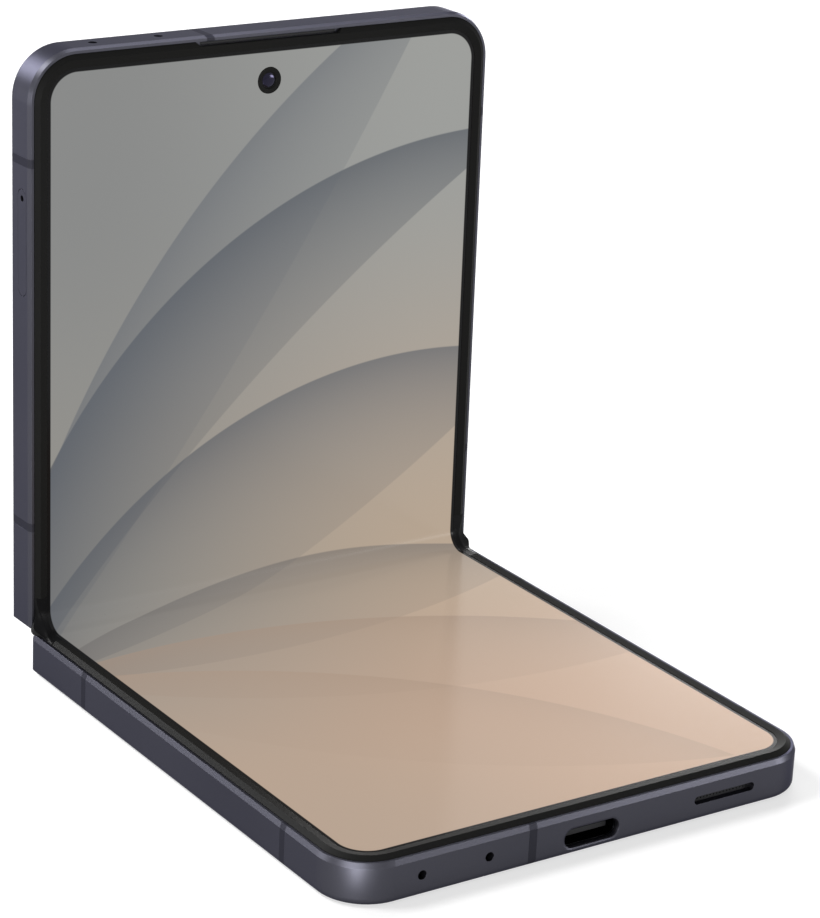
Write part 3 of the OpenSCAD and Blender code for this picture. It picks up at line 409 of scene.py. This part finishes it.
def makeStrip(name, place, replaced):
    shape = bmesh.new()
    across, thick, start = strip["halfWidth"], strip["thickness"], strip["start"]
    corners = [(-across, start, 0), (across, start, 0), (across, start, -thick), (-across, start, -thick)]
    alongBend(shape, shape.faces.new([shape.verts.new(c) for c in corners]))
    bmesh.ops.recalc_face_normals(shape, faces=shape.faces)
    for face in shape.faces:
        centre = face.calc_center_median()
        toBend = Vector((0, body["bendStart"] - centre.y, body["bendRadius"] - centre.z)).normalized()
        face.material_index = 0 if face.normal.dot(toBend) > strip["facing"] else 1
    piece = finishPiece(name, shape, place, ["litStrip", "foldFilm"], smoothAngle=40)
    pictureMap = piece.data.uv_layers.new(name="pictureMap")
    slope = math.tan(foldTurn)
    for loop in piece.data.loops:
        spot = piece.data.vertices[loop.vertex_index].co / millimetre
        along = spot.y - body["halfLength"] / 2 + (spot.z - body["depth"]) * slope
        pictureMap.data[loop.index].uv = (0.5 + spot.x / picture["mapSpan"], 0.5 + along / picture["mapSpan"])
    joinAcrossFold(piece, replaced)


def joinAcrossFold(piece, replaced):
    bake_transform(piece)
    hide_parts(replaced)


makeStrip("displayFoldLower", onLower, "display_fold_lower")
makeStrip("displayFoldUpper", onUpper, "display_fold_upper")
print("display strips made")

# Soft trim beside the strips: a film with a leaf-shaped ridge, wide at the fold and fading into the bezels
trim = {
    "length": 4.26, "acrossSteps": 14, "alongSteps": 30, "ridgeAt": 0.45, "inner": 2.5,
    "outer": (0.02, 0.66), "outerFade": 1.6, "ridge": (1.75, 0.84), "ridgeHeight": (0.2, 0.0),
    "outerHeight": (-0.14, -0.2), "innerHeight": 0.03, "outerCurve": 1.7, "innerCurve": 2.6,
    "under": 0.45, "underWidth": 1.5, "skirt": 0.8, "skirtWidth": 1.2, "skirtFade": 1.7, "weld": 1e-4,
}


def easy(share):
    share = min(max(share, 0), 1)
    return share * share * (3 - 2 * share)


def between(pair, share):
    return pair[0] + (pair[1] - pair[0]) * share


def leafPoint(across, along, under):
    # across runs from the frame to the display, and along from the fold plane to the bezel
    toBezel = easy(along / trim["length"])
    outer = between(trim["outer"], easy(along / trim["outerFade"]))
    ridge = between(trim["ridge"], toBezel)
    top = between(trim["ridgeHeight"], toBezel)
    low = between(trim["outerHeight"], toBezel)
    if across <= trim["ridgeAt"]:
        share = across / trim["ridgeAt"]
        inward = between((outer, ridge), share)
        height = between((low, top), share ** trim["outerCurve"])
    else:
        share = (1 - across) / (1 - trim["ridgeAt"])
        inward = between((trim["inner"], ridge), share)
        height = between((trim["innerHeight"], top), share ** trim["innerCurve"])
    if under:
        skirt = trim["skirt"] * (1 - easy(along / trim["skirtFade"])) * (1 - easy(inward / trim["skirtWidth"]))
        height = 0 if inward > trim["underWidth"] else -trim["under"] - skirt
    return inward, height


def alongPath(along, height):
    # place on the path from the fold plane round the bend, and then straight
    bend = body["bendRadius"] * foldTurn
    inward, up = bendPoint(max(bend - along, 0) / body["bendRadius"], body["bendRadius"] - height)
    return inward + max(along - bend, 0), up


def makeTrim(name, place, replaced):
    shape = bmesh.new()
    for side in (-1, 1):
        grid = bmesh.ops.create_grid(shape, x_segments=trim["acrossSteps"], y_segments=trim["alongSteps"], size=0.5)
        sheet = list({face for vert in grid["verts"] for face in vert.link_faces})
        grown = bmesh.ops.extrude_face_region(shape, geom=sheet)
        lower = [g for g in grown["geom"] if isinstance(g, bmesh.types.BMVert)]
        for verts, under in ((grid["verts"], False), (lower, True)):
            for vert in verts:
                along = (vert.co.y + 0.5) * trim["length"]
                inward, height = leafPoint(vert.co.x + 0.5, along, under)
                vert.co = (side * (body["width"] / 2 - inward), *alongPath(along, height))
    bmesh.ops.remove_doubles(shape, verts=shape.verts, dist=trim["weld"])
    piece = finishPiece(name, shape, place, ["foldFilm"], smoothAngle=35)
    joinAcrossFold(piece, replaced)


makeTrim("foldTrimLower", onLower, "fold_trim_lower")
makeTrim("foldTrimUpper", onUpper, "fold_trim_upper")
print("fold trims made")


spinWeld = 1e-5


def turned(shape, outline, centre, steps, materialOf=None):
    # outline points are radius and height, both ends on the axis; the height runs along +z
    verts = [shape.verts.new((radius, 0, height)) for radius, height in outline]
    edges = [shape.edges.new(pair) for pair in zip(verts, verts[1:])]
    before = set(shape.faces)
    bmesh.ops.spin(shape, geom=verts + edges, cent=(0, 0, 0), axis=(0, 0, 1), angle=math.tau, steps=steps,
                   use_merge=True)
    bmesh.ops.remove_doubles(shape, verts=shape.verts, dist=spinWeld)
    faces = [f for f in shape.faces if f not in before]
    if materialOf:
        for face in faces:
            middle = face.calc_center_median()
            face.material_index = materialOf(math.hypot(middle.x, middle.y), middle.z)
    bmesh.ops.translate(shape, verts=list({v for f in faces for v in f.verts}), vec=centre)


# Front camera behind its window: a black washer, a lens barrel and a small domed lens
frontCamera = {
    "centre": (0, 76.25, 0), "steps": 48, "lensRadius": 1.06, "backHeight": -0.4,
    "outline": [(0, -0.6), (1.9, -0.6), (1.92, -0.58), (1.92, -0.06), (1.88, -0.02), (1.3, -0.02), (1.24, -0.05),
                (1.16, -0.2), (1.1, -0.22), (1.05, -0.22), (0.98, -0.17), (0.85, -0.12), (0.65, -0.08), (0.4, -0.055),
                (0.2, -0.045), (0, -0.042)],
}
shape = bmesh.new()
turned(shape, frontCamera["outline"], frontCamera["centre"], frontCamera["steps"],
       lambda radius, height: 1 if radius < frontCamera["lensRadius"] and height > frontCamera["backHeight"] else 0)
frontLens = finishPiece("frontCameraLens", shape, onUpper, ["bezelResin", "coatedLens"], smoothAngle=40)
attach(frontLens, "upper_half")
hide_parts("front_camera_window")
print("front camera made")

# Rear cameras: a black glass collar, a stepped baffle and a domed lens in each ring
rearCamera = {
    "centres": [(11.5, 71.55, 0), (26.5, 71.55, 0)], "steps": 64, "lensRadius": 2.1, "collarRadius": 3.5,
    "backHeight": -6.5,
    "outline": [(0, -6.27), (5.1, -6.27), (5.15, -6.32), (5.15, -7.12), (5.07, -7.2), (3.58, -7.2), (3.5, -7.14),
                (3.3, -6.95), (3.05, -6.92), (3.0, -6.85), (2.75, -6.82), (2.7, -6.74), (2.4, -6.72), (2.35, -6.66),
                (2.12, -6.65), (2.05, -6.68), (1.9, -6.74), (1.6, -6.83), (1.2, -6.9), (0.8, -6.945), (0.4, -6.97),
                (0, -6.98)],
}


def rearFinish(radius, height):
    if height > rearCamera["backHeight"] or radius > rearCamera["collarRadius"]:
        return 0
    return 2 if radius < rearCamera["lensRadius"] else 1


shape = bmesh.new()
for centre in rearCamera["centres"]:
    turned(shape, rearCamera["outline"], centre, rearCamera["steps"], rearFinish)
rearLenses = finishPiece("rearCameraLenses", shape, onUpper, ["blackGlass", "blackNylon", "coatedLens"],
                         smoothAngle=40)
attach(rearLenses, "upper_half")
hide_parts("camera_lenses")

# Flash window with the steps of its lens
flash = {
    "centre": (0, 71.55, 0), "steps": 48,
    "outline": [(0, -5.15), (1.88, -5.15), (1.9, -5.2), (1.9, -6.16), (1.84, -6.23), (1.66, -6.24), (1.6, -6.14),
                (1.34, -6.12), (1.28, -6.18), (1.04, -6.16), (0.98, -6.21), (0.74, -6.19), (0.68, -6.235),
                (0.4, -6.24), (0, -6.245)],
}
shape = bmesh.new()
turned(shape, flash["outline"], flash["centre"], flash["steps"])
flashWindow = finishPiece("flashWindow", shape, onUpper, ["flashResin"])
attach(flashWindow, "upper_half")
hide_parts("flash_lens")
print("rear cameras and flash made")

# Contact pads on both faces of the port's tongue
pads = {"count": 12, "pitch": 0.5, "size": (0.26, 1.9, 0.05), "middle": 80.4, "faces": (-3.5, -4.2), "rounding": 0.02}
shape = bmesh.new()
for height in pads["faces"]:
    for index in range(pads["count"]):
        across = (index - (pads["count"] - 1) / 2) * pads["pitch"]
        cube = bmesh.ops.create_cube(shape, size=1)
        bmesh.ops.scale(shape, verts=cube["verts"], vec=pads["size"])
        bmesh.ops.translate(shape, verts=cube["verts"], vec=(across, pads["middle"], height))
bmesh.ops.bevel(shape, geom=shape.edges[:], offset=pads["rounding"], offset_type="OFFSET", segments=1, profile=0.5,
                affect="EDGES", material=-1)
contactPads = finishPiece("portContacts", shape, onLower, ["contactGold"])
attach(contactPads, "lower_half")
print("port contacts made")


def seenRays(tree):
    # 1 for rays that show the background: from the camera, in metal and through glass
    light = addNode(tree, "ShaderNodeLightPath")
    seen = addNode(tree, "ShaderNodeMath", {"operation": "MAXIMUM"},
                   links={0: light.outputs["Is Camera Ray"], 1: light.outputs["Is Glossy Ray"]})
    return addNode(tree, "ShaderNodeMath", {"operation": "MAXIMUM"},
                   links={0: seen.outputs[0], 1: light.outputs["Is Transmission Ray"]}).outputs[0]


# Plain pale floor that keeps the shadow, lifted to white where it shows as background
stage = {"size": 6.0, "sink": 0.0001, "floorColour": "#b8b8b8", "lift": 0.6}
bpy.ops.mesh.primitive_plane_add(size=stage["size"], location=(0, 0, -stage["sink"]))
floor = bpy.context.object
floor.name = "floor"
floorPaint, tree, output = newMaterial("floorPaint")
paint = addNode(tree, "ShaderNodeBsdfDiffuse", inputs={"Color": colour(stage["floorColour"])})
lifted = addNode(tree, "ShaderNodeMath", {"operation": "MULTIPLY"}, {1: stage["lift"]}, {0: seenRays(tree)})
white = addNode(tree, "ShaderNodeEmission", links={"Strength": lifted.outputs[0]})
both = addNode(tree, "ShaderNodeAddShader", links={0: paint.outputs[0], 1: white.outputs[0]})
tree.links.new(both.outputs[0], output.inputs["Surface"])
floor.data.materials.append(floorPaint)

# Soft studio light: an even pale room, and softboxes around the phone, with sizes in metres
room = {"colour": "#ffffff", "strength": 0.3, "seenStrength": 1}
world = bpy.data.worlds.new("studioRoom")
bpy.context.scene.world = world
world.use_nodes = True
tree = world.node_tree
tree.nodes.clear()
lighting, seen = (addNode(tree, "ShaderNodeBackground",
                          inputs={"Color": colour(room["colour"]), "Strength": room[key]})
                  for key in ("strength", "seenStrength"))
choose = addNode(tree, "ShaderNodeMixShader", links={0: seenRays(tree), 1: lighting.outputs[0], 2: seen.outputs[0]})
addNode(tree, "ShaderNodeOutputWorld", links={"Surface": choose.outputs[0]})

softboxes = {
    "upperLeft": {"place": (-0.26, 0.86, 0.4), "width": 0.36, "height": 0.3, "glow": 17},
    "overLeft": {"place": (-0.5, 0.33, 0.78), "width": 0.28, "height": 0.28, "glow": 22},
    "overRight": {"place": (0.34, 0.48, 0.8), "width": 0.34, "height": 0.3, "glow": 6},
    "left": {"place": (-0.84, 0.56, 0.075), "width": 0.5, "height": 0.14, "glow": 11},
    "frontLeft": {"place": (-0.8, -0.6, 0.075), "width": 0.7, "height": 0.14, "glow": 30},
    "frontRight": {"place": (0.8, -0.75, 0.12), "width": 0.4, "height": 0.22, "glow": 15},
    "backRight": {"place": (0.85, 0.78, 0.25), "width": 0.28, "height": 0.28, "glow": 22},
    "lowPanel": {"place": (-0.058, -0.062, 0.0005), "width": 0.036, "height": 0.036, "glow": 10,
                 "aim": (-0.058, -0.062, 1)},
}
phoneMiddle = (0, 0.02, 0.03)
for name, box in softboxes.items():
    lamp = bpy.data.lights.new(name, "AREA")
    lamp.shape = "RECTANGLE"
    lamp.size, lamp.size_y = box["width"], box["height"]
    # a glow of 1 is as bright as the white room
    lamp.energy = box["glow"] * math.pi * box["width"] * box["height"]
    holder = bpy.data.objects.new(name, lamp)
    holder.location = box["place"]
    holder.visible_camera = False
    aim = Vector(box.get("aim", phoneMiddle)) - holder.location
    holder.rotation_euler = aim.to_track_quat("-Z", "Y").to_euler()
    bpy.context.scene.collection.objects.link(holder)

# Camera: long lens, looking down at the display from the front left
view = {
    "place": (-0.233793, -0.334501, 0.189108), "focalPixels": 3221.085, "heightPixels": 918,
    "sensorHeight": 36, "nearest": 0.01,
    "right": (0.831097, -0.554256, 0.045596), "down": (-0.155012, -0.309616, -0.938141),
    "forward": (0.534088, 0.772618, -0.343237),
}
lens = bpy.data.cameras.new("viewCamera")
lens.sensor_fit = "VERTICAL"
lens.sensor_height = view["sensorHeight"]
lens.lens = view["focalPixels"] * lens.sensor_height / view["heightPixels"]
lens.clip_start = view["nearest"]
camera = bpy.data.objects.new("viewCamera", lens)
axes = [Vector(view["right"]), -Vector(view["down"]), -Vector(view["forward"])]
camera.matrix_world = Matrix.Translation(view["place"]) @ Matrix(axes).transposed().to_4x4()
bpy.context.scene.collection.objects.link(camera)
bpy.context.scene.camera = camera
bpy.context.scene.view_settings.view_transform = "Standard"
print("stage, light and camera set")
